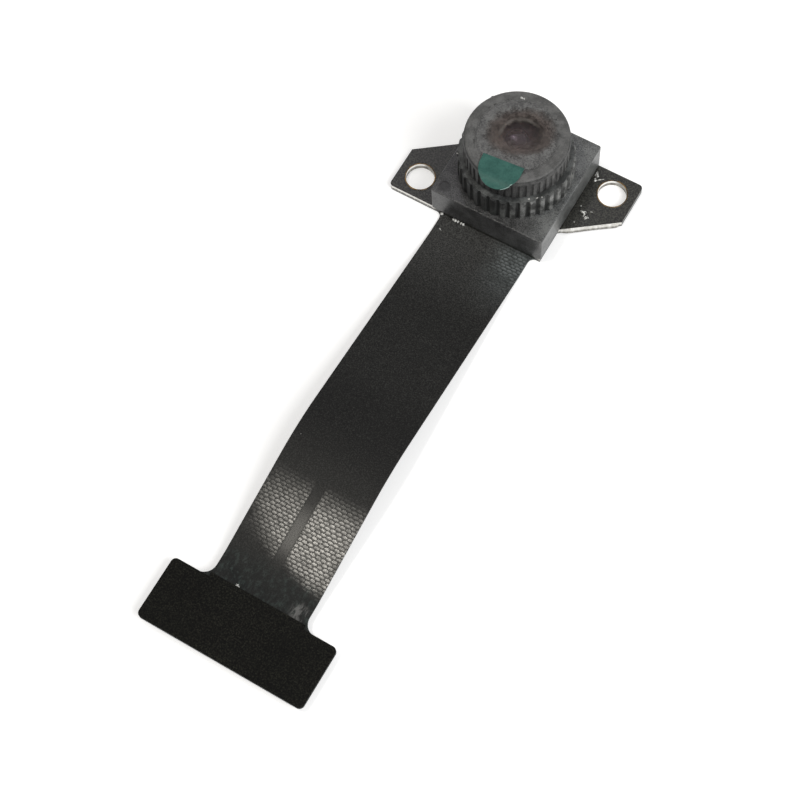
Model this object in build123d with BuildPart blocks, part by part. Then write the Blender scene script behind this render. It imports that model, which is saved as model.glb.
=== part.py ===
from build123d import *
import os
from math import cos, radians, sin

os.makedirs("parts", exist_ok=True)

# A small fixed-focus camera module on a flexible tail. All sizes are millimetres.
# The origin is on the lens axis, on the flat underside of the module.
# +Z points out of the lens, and the tail runs towards -Y.

# Flexible circuit: one sheet under the board, along the tail and under the end plate
flex_thick = 0.12
tail_width = 6.95
tail_length = 30.05
tail_root_radius = 0.45
tail_drift = 0.3
end_width = 12.2
end_length = 4.4
end_root_radius = 0.9
end_corner_radius = 0.35
start_flat = 1.45
end_flat = 1.8
arch_fall_length = 9.4
arch_crest_height = 2.4
arch_start_bend = 12.0
arch_crest_bend = 14.0
arch_end_bend = 8.0

# Mounting board with its two ears
board_inset = 0.1
board_thick = 0.4
ear_length = 3.55
ear_tip_width = 3.18
ear_root_width = 5.8
ear_corner_radius = 0.3
ear_hole_radius = 1.0
ear_hole_inset = 1.6
ear_hole_edge = 1.55
plating_wall = 0.03
plating_rim_width = 0.07
plating_rim_height = 0.02
test_pad_height = 0.02
test_pad_length = 0.42
test_pad_width = 0.18
test_pad_spot = (0.35, 0.78)
test_dot_radius = 0.12
test_dot_spots = [(0.47, 0.37), (0.93, -2.22), (1.25, -2.48)]

# Image sensor package and the parts beside it
joint_height = 0.1
joint_side = 0.28
joint_pitch = 0.8
joints_per_row = 6
joint_rows = 5
sensor_width = 5.1
sensor_depth = 4.6
sensor_thick = 0.2
sensor_glass_inset = 0.12
sensor_glass_thick = 0.4
capacitor_length = 0.6
capacitor_width = 0.3
capacitor_height = 0.3
capacitor_pitch = 1.2
capacitors_per_side = 3

# Lens holder
glue_thick = 0.04
glue_margin = 0.1
holder_side = 8.5
holder_height = 2.36
holder_wall = 0.75
holder_edge_radius = 0.15
holder_top_radius = 0.08
cavity_height = 1.25
web_thick = 0.3
window_radius = 2.0
ejector_mark_radius = 0.35
ejector_mark_depth = 0.04
ejector_mark_inset = 0.7
filter_side = 5.2
filter_thick = 0.3

# Lens barrel and its lock ring
thread_radius = 3.25
thread_clearance = 0.05
focus_clearance = 0.15
ring_wall = 0.65
ring_height = 2.03
ring_teeth = 36
ring_groove_radius = 0.2
ring_groove_depth = 0.15
ring_edge = 0.1
head_gap = 0.1
head_overhang = 0.3
head_height = 1.98
head_rim_radius = 0.25
head_rim_height = 0.42
head_teeth = 48
head_groove_radius = 0.13
head_groove_depth = 0.1
head_foot_chamfer = 0.1
mouth_depth = 0.15
mouth_flare = 0.22

# Lens elements, from the front to the rear
lens_clearance = 0.02
clear_edge = 0.08
front_lens_step = 0.3
front_lens_recess = 0.12
front_lens_edge = 0.5
front_lens_crown = 0.48
front_lens_hollow_radius = 1.5
front_lens_hollow = 0.45
element_radius = 1.9
front_spacer_length = 0.65
second_lens_edge = 0.6
second_lens_crown_radius = 1.1
second_lens_crown = 0.2
second_lens_hollow_radius = 1.1
second_lens_hollow = 0.2
stop_thick = 0.05
stop_radius = 0.45
third_lens_edge = 0.7
third_lens_hollow_radius = 0.9
third_lens_hollow = 0.12
third_lens_crown_radius = 1.3
third_lens_crown = 0.22
rear_spacer_length = 0.35
rear_lens_edge = 0.58
rear_lens_hollow_radius = 1.2
rear_lens_hollow = 0.2
rear_lens_crown_radius = 1.4
rear_lens_crown = 0.2

# Clear protective film with its coloured pull tab
film_thick = 0.05
film_inset = 0.65
film_turn = 5.0
tab_thick = 0.06
tab_radius = 1.45
tab_overhang = 0.55
tab_lap = 0.82
tab_bend_radius = 1.2
tab_droop = 0.55

# Connector under the end of the tail
stiffener_thick = 0.2
stiffener_overlap = 0.3
connector_width = 2.6
connector_height = 0.7
connector_wall = 0.45
connector_end_wall = 0.6
connector_base = 0.2
connector_channel = 0.45
contact_pitch = 0.4
contacts_per_row = 15
contact_end_margin = 1.2
contact_width = 0.16
contact_clearance = 0.02
contact_thick = 0.1
contact_foot = 0.3
contact_tip_height = 0.12
anchor_width = 1.2
anchor_foot = 0.45
anchor_thick = 0.15
anchor_height = 0.4

# Plan places that follow from the sizes above
board_side = holder_side - 2 * board_inset
half_board = board_side / 2
half_span = half_board + ear_length
ear_hole_x = half_span - ear_hole_inset
ear_hole_y = half_board - ear_hole_edge
cavity_side = holder_side - 2 * holder_wall
ring_radius = thread_radius + thread_clearance + ring_wall
head_radius = thread_radius + head_overhang
film_radius = head_radius - film_inset
tab_reach = head_radius + tab_overhang
tab_chord = film_radius - tab_lap
front_lens_radius = element_radius + front_lens_step
rear_opening_radius = rear_lens_crown_radius + clear_edge
connector_length = (contacts_per_row - 1) * contact_pitch + 2 * contact_end_margin
end_far_y = -half_board - tail_length
end_near_y = end_far_y - end_length
end_middle_y = end_far_y - end_length / 2
arch_start_y = -half_board - start_flat
arch_end_y = end_far_y + end_flat
arch_crest_y = arch_end_y + arch_fall_length

# Levels that follow from the stack
board_base = flex_thick
board_top = board_base + board_thick
holder_base = board_top + glue_thick
holder_top = holder_base + holder_height
cavity_top = holder_base + cavity_height
bore_base = cavity_top + web_thick
ring_base = holder_top
ring_top = ring_base + ring_height
head_base = ring_top + head_gap
head_top = head_base + head_height
barrel_base = bore_base + focus_clearance
sensor_base = board_top + joint_height
sensor_top = sensor_base + sensor_thick
front_seat = head_top - front_lens_recess - front_lens_crown - front_lens_edge
front_spacer_base = front_seat - front_spacer_length
second_lens_base = front_spacer_base - second_lens_edge
stop_base = second_lens_base - stop_thick
third_lens_base = stop_base - third_lens_edge
rear_spacer_base = third_lens_base - rear_spacer_length
rear_shelf = rear_spacer_base - rear_lens_edge
end_top = connector_height + flex_thick

# Plan outlines, shared by the pieces that follow them
with BuildSketch() as ear_plan:
    with BuildLine():
        Polyline(
            (0, -half_board),
            (-half_span, -half_board),
            (-half_span, -half_board + ear_tip_width),
            (-half_board, -half_board + ear_root_width),
            (0, -half_board + ear_root_width),
            close=True,
        )
    make_face()
    fillet(ear_plan.vertices().group_by(Axis.X)[0].sort_by(Axis.Y)[0], ear_corner_radius)

with BuildSketch() as board_plan:
    Rectangle(board_side, board_side)
    add(ear_plan.sketch)
    add(ear_plan.sketch, rotation=180)

with BuildSketch() as end_plan:
    with Locations((tail_drift, end_middle_y)):
        Rectangle(end_width, end_length)
    fillet(end_plan.vertices(), end_corner_radius)

with BuildSketch() as flex_plan:
    with BuildLine():
        Polyline(
            (-tail_width / 2, 0),
            (tail_width / 2, 0),
            (tail_width / 2, -half_board),
            (tail_drift + tail_width / 2, end_far_y),
            (tail_drift + tail_width / 2, end_middle_y),
            (tail_drift - tail_width / 2, end_middle_y),
            (tail_drift - tail_width / 2, end_far_y),
            (-tail_width / 2, -half_board),
            close=True,
        )
    make_face()
    add(board_plan.sketch)
    add(end_plan.sketch)
    root_corners = flex_plan.vertices().filter_by(
        lambda v: abs(v.Y + half_board) < 0.01 and abs(abs(v.X) - tail_width / 2) < 0.01
    )
    fillet(root_corners, min(tail_root_radius, 0.7 * (half_board - tail_width / 2)))
    end_corners = flex_plan.vertices().filter_by(
        lambda v: abs(v.Y - end_far_y) < 0.01 and abs(abs(v.X - tail_drift) - tail_width / 2) < 0.01
    )
    fillet(end_corners, end_root_radius)

# Flexible circuit: a bent strip, trimmed to its plan
with BuildPart() as flex_ribbon:
    with BuildSketch(Plane.YZ):
        with BuildLine():
            FilletPolyline(
                (half_board + 1, 0),
                (arch_start_y, 0),
                (arch_crest_y, arch_crest_height),
                (arch_end_y, connector_height),
                (end_near_y - 1, connector_height),
                radius=[arch_start_bend, arch_crest_bend, arch_end_bend],
            )
            offset(amount=flex_thick, side=Side.RIGHT)
        make_face()
    extrude(amount=2 * half_span, both=True)
    with BuildSketch(Plane.XY.offset(-1)):
        add(flex_plan.sketch)
    extrude(amount=arch_crest_height + 3, mode=Mode.INTERSECT)
    with Locations((-ear_hole_x, -ear_hole_y, 0), (ear_hole_x, ear_hole_y, 0)):
        Cylinder(ear_hole_radius + plating_wall, 4 * flex_thick, mode=Mode.SUBTRACT)
flex_ribbon.part.label = "flex_ribbon"
export_step(flex_ribbon.part, "parts/flex_ribbon.step")

# Rigid mounting board with an ear on each side
with BuildPart() as mounting_board:
    with BuildSketch(Plane.XY.offset(board_base)):
        add(board_plan.sketch)
        with Locations((-ear_hole_x, -ear_hole_y), (ear_hole_x, ear_hole_y)):
            Circle(ear_hole_radius + plating_wall, mode=Mode.SUBTRACT)
    extrude(amount=board_thick)
mounting_board.part.label = "mounting_board"
export_step(mounting_board.part, "parts/mounting_board.step")

# Plated wall and rim of each ear hole
with BuildPart() as ear_hole_plating:
    with BuildSketch(Plane.XY):
        with Locations((-ear_hole_x, -ear_hole_y), (ear_hole_x, ear_hole_y)):
            Circle(ear_hole_radius + plating_wall)
            Circle(ear_hole_radius, mode=Mode.SUBTRACT)
    extrude(amount=board_top)
    with BuildSketch(Plane.XY.offset(board_top)):
        with Locations((-ear_hole_x, -ear_hole_y), (ear_hole_x, ear_hole_y)):
            Circle(ear_hole_radius + plating_rim_width)
            Circle(ear_hole_radius, mode=Mode.SUBTRACT)
    extrude(amount=plating_rim_height)
ear_hole_plating.part.label = "ear_hole_plating"
export_step(ear_hole_plating.part, "parts/ear_hole_plating.step")

# Small tinned test pads on one ear
with BuildPart() as test_pads:
    with BuildSketch(Plane.XY.offset(board_top)):
        with Locations((half_board, ear_hole_y)):
            with Locations(*test_dot_spots):
                Circle(test_dot_radius)
            with Locations(test_pad_spot):
                SlotOverall(test_pad_length, test_pad_width, rotation=90)
    extrude(amount=test_pad_height)
test_pads.part.label = "test_pads"
export_step(test_pads.part, "parts/test_pads.step")

# Solder joints on square lands under the sensor
with BuildPart() as solder_joints:
    with BuildSketch(Plane.XY.offset(board_top)):
        with GridLocations(joint_pitch, joint_pitch, joints_per_row, joint_rows):
            Rectangle(joint_side, joint_side)
    extrude(amount=joint_height)
solder_joints.part.label = "solder_joints"
export_step(solder_joints.part, "parts/solder_joints.step")

# Image sensor die
with BuildPart() as image_sensor:
    with BuildSketch(Plane.XY.offset(sensor_base)):
        Rectangle(sensor_width, sensor_depth)
    extrude(amount=sensor_thick)
image_sensor.part.label = "image_sensor"
export_step(image_sensor.part, "parts/image_sensor.step")

# Cover glass bonded on the sensor
with BuildPart() as sensor_glass:
    with BuildSketch(Plane.XY.offset(sensor_top)):
        Rectangle(sensor_width - 2 * sensor_glass_inset, sensor_depth - 2 * sensor_glass_inset)
    extrude(amount=sensor_glass_thick)
sensor_glass.part.label = "sensor_glass"
export_step(sensor_glass.part, "parts/sensor_glass.step")

# Decoupling capacitors in a row on each side, midway between the sensor and the holder's wall
capacitor_spread = (sensor_width + cavity_side) / 2
with BuildPart() as capacitors:
    with BuildSketch(Plane.XY.offset(board_top)):
        with GridLocations(capacitor_spread, capacitor_pitch, 2, capacitors_per_side):
            Rectangle(capacitor_width, capacitor_length)
    extrude(amount=capacitor_height)
capacitors.part.label = "capacitors"
export_step(capacitors.part, "parts/capacitors.step")

# Glue line between the board and the holder
with BuildPart() as holder_glue:
    with BuildSketch(Plane.XY.offset(board_top)):
        Rectangle(board_side - 2 * glue_margin, board_side - 2 * glue_margin)
        Rectangle(cavity_side + 2 * glue_margin, cavity_side + 2 * glue_margin, mode=Mode.SUBTRACT)
    extrude(amount=glue_thick)
holder_glue.part.label = "holder_glue"
export_step(holder_glue.part, "parts/holder_glue.step")

# Square lens holder: sensor cavity below, web with a window, threaded bore above
with BuildPart() as lens_holder:
    with BuildSketch(Plane.XY.offset(holder_base)):
        RectangleRounded(holder_side, holder_side, holder_edge_radius)
    extrude(amount=holder_height)
    fillet(lens_holder.faces().sort_by(Axis.Z)[-1].edges(), holder_top_radius)
    with BuildSketch(Plane.XY.offset(holder_base)):
        Rectangle(cavity_side, cavity_side)
    extrude(amount=cavity_height, mode=Mode.SUBTRACT)
    with BuildSketch(Plane.XY.offset(cavity_top)):
        Circle(window_radius)
    extrude(amount=web_thick, mode=Mode.SUBTRACT)
    with BuildSketch(Plane.XY.offset(bore_base)):
        Circle(thread_radius + thread_clearance)
    extrude(amount=holder_height, mode=Mode.SUBTRACT)
    with BuildSketch(Plane.XY.offset(holder_top - ejector_mark_depth)):
        with Locations((-holder_side / 2 + ejector_mark_inset, -holder_side / 2 + ejector_mark_inset)):
            Circle(ejector_mark_radius)
    extrude(amount=2 * ejector_mark_depth, mode=Mode.SUBTRACT)
lens_holder.part.label = "lens_holder"
export_step(lens_holder.part, "parts/lens_holder.step")

# Infrared filter glued under the web
with BuildPart() as infrared_filter:
    with BuildSketch(Plane.XY.offset(cavity_top - filter_thick)):
        Rectangle(filter_side, filter_side)
    extrude(amount=filter_thick)
infrared_filter.part.label = "infrared_filter"
export_step(infrared_filter.part, "parts/infrared_filter.step")

# Knurled lock ring, screwed down on the holder
with BuildPart() as lock_ring:
    with BuildSketch(Plane.XY.offset(ring_base)):
        Circle(ring_radius)
    extrude(amount=ring_height)
    chamfer(lock_ring.faces().sort_by(Axis.Z)[-1].edges(), ring_edge)
    with BuildSketch(Plane.XY.offset(ring_base)):
        Circle(thread_radius + thread_clearance)
        with PolarLocations(ring_radius + ring_groove_radius - ring_groove_depth, ring_teeth):
            Circle(ring_groove_radius)
    extrude(amount=ring_height, mode=Mode.SUBTRACT)
lock_ring.part.label = "lock_ring"
export_step(lock_ring.part, "parts/lock_ring.step")

# Lens barrel: threaded tube below, knurled head above, stepped seats inside
front_pocket_radius = front_lens_radius + lens_clearance
element_bore = element_radius + lens_clearance
with BuildPart() as lens_barrel:
    with BuildSketch(Plane.XY.offset(barrel_base)):
        Circle(thread_radius)
    extrude(amount=head_base - barrel_base)
    with BuildSketch(Plane.XY.offset(head_base)):
        Circle(head_radius)
    extrude(amount=head_height)
    fillet(lens_barrel.faces().sort_by(Axis.Z)[-1].edges(), head_rim_radius)
    foot_edges = lens_barrel.edges().filter_by(GeomType.CIRCLE).filter_by(
        lambda e: abs(e.center().Z - head_base) < 0.01 and abs(e.radius - head_radius) < 0.01
    )
    chamfer(foot_edges, head_foot_chamfer)
    with BuildSketch(Plane.XY.offset(head_base)):
        with PolarLocations(head_radius + head_groove_radius - head_groove_depth, head_teeth):
            Circle(head_groove_radius)
    extrude(amount=head_height - head_rim_height, mode=Mode.SUBTRACT)
    with BuildSketch(Plane.XZ):
        with BuildLine():
            Polyline(
                (0, head_top),
                (front_pocket_radius + mouth_flare, head_top),
                (front_pocket_radius, head_top - mouth_depth),
                (front_pocket_radius, front_seat),
                (element_bore, front_seat),
                (element_bore, rear_shelf),
                (rear_opening_radius, rear_shelf),
                (rear_opening_radius, barrel_base),
                (0, barrel_base),
                close=True,
            )
        make_face()
    revolve(axis=Axis.Z, mode=Mode.SUBTRACT)
lens_barrel.part.label = "lens_barrel"
export_step(lens_barrel.part, "parts/lens_barrel.step")

# Each curved lens face is an arc whose centre lies on the lens axis
def cap_radius(half_width, height):
    return (half_width**2 + height**2) / (2 * height)


# Front lens: domed outside, hollow behind
front_lens_edge_top = front_seat + front_lens_edge
with BuildPart() as front_lens:
    with BuildSketch(Plane.XZ):
        with BuildLine():
            RadiusArc(
                (0, front_seat + front_lens_hollow),
                (front_lens_hollow_radius, front_seat),
                cap_radius(front_lens_hollow_radius, front_lens_hollow),
            )
            Polyline(
                (front_lens_hollow_radius, front_seat),
                (front_lens_radius, front_seat),
                (front_lens_radius, front_lens_edge_top),
            )
            RadiusArc(
                (0, front_lens_edge_top + front_lens_crown),
                (front_lens_radius, front_lens_edge_top),
                cap_radius(front_lens_radius, front_lens_crown),
            )
            Line((0, front_seat + front_lens_hollow), (0, front_lens_edge_top + front_lens_crown))
        make_face()
    revolve(axis=Axis.Z)
front_lens.part.label = "front_lens"
export_step(front_lens.part, "parts/front_lens.step")

# Front spacer: a ring whose hole narrows towards the second lens
with BuildPart() as front_spacer:
    with BuildSketch(Plane.XZ):
        with BuildLine():
            Polyline(
                (second_lens_crown_radius + clear_edge, front_spacer_base),
                (element_radius, front_spacer_base),
                (element_radius, front_seat),
                (front_lens_hollow_radius, front_seat),
                close=True,
            )
        make_face()
    revolve(axis=Axis.Z)
front_spacer.part.label = "front_spacer"
export_step(front_spacer.part, "parts/front_spacer.step")

# Second lens: a crown in front, a hollow behind, a flat flange around both
with BuildPart() as second_lens:
    with BuildSketch(Plane.XZ):
        with BuildLine():
            RadiusArc(
                (0, second_lens_base + second_lens_hollow),
                (second_lens_hollow_radius, second_lens_base),
                cap_radius(second_lens_hollow_radius, second_lens_hollow),
            )
            Polyline(
                (second_lens_hollow_radius, second_lens_base),
                (element_radius, second_lens_base),
                (element_radius, front_spacer_base),
                (second_lens_crown_radius, front_spacer_base),
            )
            RadiusArc(
                (0, front_spacer_base + second_lens_crown),
                (second_lens_crown_radius, front_spacer_base),
                cap_radius(second_lens_crown_radius, second_lens_crown),
            )
            Line((0, second_lens_base + second_lens_hollow), (0, front_spacer_base + second_lens_crown))
        make_face()
    revolve(axis=Axis.Z)
second_lens.part.label = "second_lens"
export_step(second_lens.part, "parts/second_lens.step")

# Aperture stop: a thin disc with a small hole
with BuildPart() as aperture_stop:
    with BuildSketch(Plane.XY.offset(stop_base)):
        Circle(element_radius)
        Circle(stop_radius, mode=Mode.SUBTRACT)
    extrude(amount=stop_thick)
aperture_stop.part.label = "aperture_stop"
export_step(aperture_stop.part, "parts/aperture_stop.step")

# Third lens: a shallow hollow in front, a crown behind
with BuildPart() as third_lens:
    with BuildSketch(Plane.XZ):
        with BuildLine():
            RadiusArc(
                (0, third_lens_base - third_lens_crown),
                (third_lens_crown_radius, third_lens_base),
                -cap_radius(third_lens_crown_radius, third_lens_crown),
            )
            Polyline(
                (third_lens_crown_radius, third_lens_base),
                (element_radius, third_lens_base),
                (element_radius, stop_base),
                (third_lens_hollow_radius, stop_base),
            )
            RadiusArc(
                (0, stop_base - third_lens_hollow),
                (third_lens_hollow_radius, stop_base),
                -cap_radius(third_lens_hollow_radius, third_lens_hollow),
            )
            Line((0, third_lens_base - third_lens_crown), (0, stop_base - third_lens_hollow))
        make_face()
    revolve(axis=Axis.Z)
third_lens.part.label = "third_lens"
export_step(third_lens.part, "parts/third_lens.step")

# Rear spacer ring
with BuildPart() as rear_spacer:
    with BuildSketch(Plane.XY.offset(rear_spacer_base)):
        Circle(element_radius)
        Circle(third_lens_crown_radius + clear_edge, mode=Mode.SUBTRACT)
    extrude(amount=rear_spacer_length)
rear_spacer.part.label = "rear_spacer"
export_step(rear_spacer.part, "parts/rear_spacer.step")

# Rear lens, resting on the shelf at the foot of the barrel
with BuildPart() as rear_lens:
    with BuildSketch(Plane.XZ):
        with BuildLine():
            RadiusArc(
                (0, rear_shelf - rear_lens_crown),
                (rear_lens_crown_radius, rear_shelf),
                -cap_radius(rear_lens_crown_radius, rear_lens_crown),
            )
            Polyline(
                (rear_lens_crown_radius, rear_shelf),
                (element_radius, rear_shelf),
                (element_radius, rear_spacer_base),
                (rear_lens_hollow_radius, rear_spacer_base),
            )
            RadiusArc(
                (0, rear_spacer_base - rear_lens_hollow),
                (rear_lens_hollow_radius, rear_spacer_base),
                -cap_radius(rear_lens_hollow_radius, rear_lens_hollow),
            )
            Line((0, rear_shelf - rear_lens_crown), (0, rear_spacer_base - rear_lens_hollow))
        make_face()
    revolve(axis=Axis.Z)
rear_lens.part.label = "rear_lens"
export_step(rear_lens.part, "parts/rear_lens.step")

# Clear protective film on the face of the head
film_top = head_top + film_thick
with BuildPart() as protective_film:
    with BuildSketch(Plane.XY.offset(head_top)):
        Circle(film_radius)
    extrude(amount=film_thick)
protective_film.part.label = "protective_film"
export_step(protective_film.part, "parts/protective_film.step")

# Pull tab on the film: a tongue that leans down past the rim of the head
tab_turn = radians(film_turn)
tab_side_plane = Plane(
    origin=(0, 0, film_top),
    x_dir=(sin(tab_turn), -cos(tab_turn), 0),
    z_dir=(-cos(tab_turn), -sin(tab_turn), 0),
)
tab_round_centre = tab_reach - tab_radius
with BuildPart() as pull_tab:
    with BuildSketch(tab_side_plane):
        with BuildLine():
            FilletPolyline(
                (0, 0),
                (head_radius, 0),
                (head_radius + 2 * tab_radius, -2 * tab_radius * tab_droop),
                radius=tab_bend_radius,
            )
            offset(amount=tab_thick, side=Side.LEFT)
        make_face()
    extrude(amount=2 * tab_radius, both=True)
    with BuildSketch(Plane.XY.offset(film_top - tab_radius).rotated((0, 0, film_turn))):
        with BuildLine():
            Polyline(
                (-tab_radius, -tab_round_centre),
                (-tab_radius, -tab_chord),
                (tab_radius, -tab_chord),
                (tab_radius, -tab_round_centre),
            )
            ThreePointArc(
                (-tab_radius, -tab_round_centre),
                (0, -tab_reach),
                (tab_radius, -tab_round_centre),
            )
        make_face()
    extrude(amount=2 * tab_radius, mode=Mode.INTERSECT)
pull_tab.part.label = "pull_tab"
export_step(pull_tab.part, "parts/pull_tab.step")

# Stiffener on the wide end of the tail
with BuildPart() as end_stiffener:
    with BuildSketch(Plane.XY.offset(end_top)):
        add(end_plan.sketch)
        with Locations((tail_drift, end_far_y)):
            Rectangle(tail_width, 2 * stiffener_overlap)
    extrude(amount=stiffener_thick)
end_stiffener.part.label = "end_stiffener"
export_step(end_stiffener.part, "parts/end_stiffener.step")

# Connector housing: open at the bottom, with a tongue in the middle and slots for the contacts
contact_row_y = connector_width / 2 - connector_wall
contact_base = connector_height - contact_thick
contact_slot = contact_width + 2 * contact_clearance
contact_cut = contact_thick + contact_clearance
tongue_width = connector_width - 2 * (connector_wall + connector_channel)
with BuildPart() as connector_housing:
    with BuildSketch(Plane.XY):
        with Locations((tail_drift, end_middle_y)):
            Rectangle(connector_length, connector_width)
    extrude(amount=connector_height)
    with BuildSketch(Plane.XY):
        with Locations((tail_drift, end_middle_y)):
            Rectangle(connector_length - 2 * connector_end_wall, 2 * contact_row_y)
            Rectangle(
                connector_length - 2 * (connector_end_wall + connector_channel),
                tongue_width,
                mode=Mode.SUBTRACT,
            )
    extrude(amount=connector_height - connector_base, mode=Mode.SUBTRACT)
    with BuildSketch(Plane.XY.offset(contact_base - contact_clearance)):
        with Locations((tail_drift, end_middle_y)):
            with GridLocations(contact_pitch, connector_width - connector_wall, contacts_per_row, 2):
                Rectangle(contact_slot, connector_wall)
    extrude(amount=connector_height, mode=Mode.SUBTRACT)
    with BuildSketch(Plane.XY.offset(connector_height - connector_base)):
        with Locations((tail_drift, end_middle_y)):
            with GridLocations(contact_pitch, 2 * contact_row_y - contact_cut, contacts_per_row, 2):
                Rectangle(contact_slot, contact_cut)
    extrude(amount=connector_base, mode=Mode.SUBTRACT)
connector_housing.part.label = "connector_housing"
export_step(connector_housing.part, "parts/connector_housing.step")

# Connector contacts: a foot soldered under the tail and a leg inside the housing
contact_back_y = contact_row_y - contact_thick
contact_toe_y = connector_width / 2 + contact_foot
with BuildPart() as connector_contacts:
    with BuildSketch(Plane.XY.offset(contact_base)):
        with Locations((tail_drift, end_middle_y)):
            with GridLocations(contact_pitch, contact_back_y + contact_toe_y, contacts_per_row, 2):
                Rectangle(contact_width, contact_toe_y - contact_back_y)
    extrude(amount=contact_thick)
    with BuildSketch(Plane.XY.offset(contact_tip_height)):
        with Locations((tail_drift, end_middle_y)):
            with GridLocations(contact_pitch, contact_back_y + contact_row_y, contacts_per_row, 2):
                Rectangle(contact_width, contact_thick)
    extrude(amount=contact_base - contact_tip_height)
connector_contacts.part.label = "connector_contacts"
export_step(connector_contacts.part, "parts/connector_contacts.step")

# Connector anchors: one bent tab against each short end of the housing
with BuildPart() as connector_anchors:
    with BuildSketch(Plane.XY.offset(connector_height - anchor_thick)):
        with Locations((tail_drift, end_middle_y)):
            with GridLocations(connector_length + anchor_foot, 1, 2, 1):
                Rectangle(anchor_foot, anchor_width)
    extrude(amount=anchor_thick)
    with BuildSketch(Plane.XY.offset(connector_height - anchor_height)):
        with Locations((tail_drift, end_middle_y)):
            with GridLocations(connector_length + anchor_thick, 1, 2, 1):
                Rectangle(anchor_thick, anchor_width)
    extrude(amount=anchor_height)
connector_anchors.part.label = "connector_anchors"
export_step(connector_anchors.part, "parts/connector_anchors.step")
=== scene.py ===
# Looks of the camera module: materials, small added detail, light and camera.
import math
import random

import bmesh
import bpy
from mathutils import Matrix, Vector


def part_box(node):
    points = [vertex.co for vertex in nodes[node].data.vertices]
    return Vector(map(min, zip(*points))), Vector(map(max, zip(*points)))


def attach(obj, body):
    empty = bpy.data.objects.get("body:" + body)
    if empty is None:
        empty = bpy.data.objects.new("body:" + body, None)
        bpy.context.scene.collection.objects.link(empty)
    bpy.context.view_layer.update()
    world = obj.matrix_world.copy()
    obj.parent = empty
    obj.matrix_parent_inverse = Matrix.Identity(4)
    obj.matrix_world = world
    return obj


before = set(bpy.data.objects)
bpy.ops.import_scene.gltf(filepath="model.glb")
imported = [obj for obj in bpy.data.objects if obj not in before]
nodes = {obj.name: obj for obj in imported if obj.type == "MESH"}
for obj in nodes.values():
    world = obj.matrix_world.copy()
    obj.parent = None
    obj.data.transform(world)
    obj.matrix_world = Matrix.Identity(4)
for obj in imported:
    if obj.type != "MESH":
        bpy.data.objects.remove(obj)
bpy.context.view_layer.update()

MM = 0.001

# Places and sizes on the part that its looks follow, in millimetres.
STRIP_X = 0.16
STRIP_HALF = 0.4
CREST_Y = -21.5
GLEAM_Y = -29.2
DUST_SPOT = (3.0, -33.4)
EAR_ROOT_X = 4.05
RING_RADIUS = 3.95
HEAD_RADIUS = 3.55
SPACER_HOLE_RADIUS = 1.5
EJECTOR_MARK = (-3.55, -3.55)


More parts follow.
